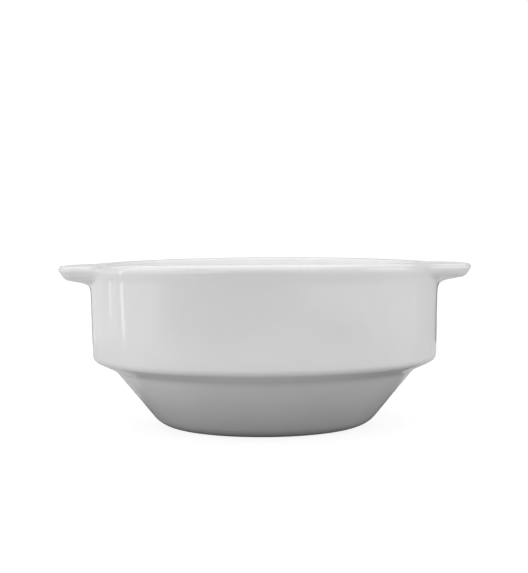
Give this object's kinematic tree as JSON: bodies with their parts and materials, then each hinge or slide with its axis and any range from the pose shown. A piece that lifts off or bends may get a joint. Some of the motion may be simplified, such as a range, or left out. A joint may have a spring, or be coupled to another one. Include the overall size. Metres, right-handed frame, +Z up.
{
  "type": "lug soup bowl",
  "caption": "Round stacking soup bowl with solid side lugs, a rolled lip, an upright wall, a stacking shoulder and a tapered base on a foot ring, for serving hot soup.",
  "frame": {"origin": "on the table, in the middle of the foot ring", "axes": "+Z up along the bowl's axis, +X towards the right lug, -Y towards the viewer of the picture"},
  "size_m": [0.1362, 0.1156, 0.0544],
  "materials": {
    "glazed_porcelain": "clear gloss glaze over white porcelain, with the foot ring left unglazed"
  },
  "bodies": {
    "root": {"bowl_body": "glazed_porcelain", "left_lug": "glazed_porcelain", "right_lug": "glazed_porcelain"}
  },
  "joints": []
}
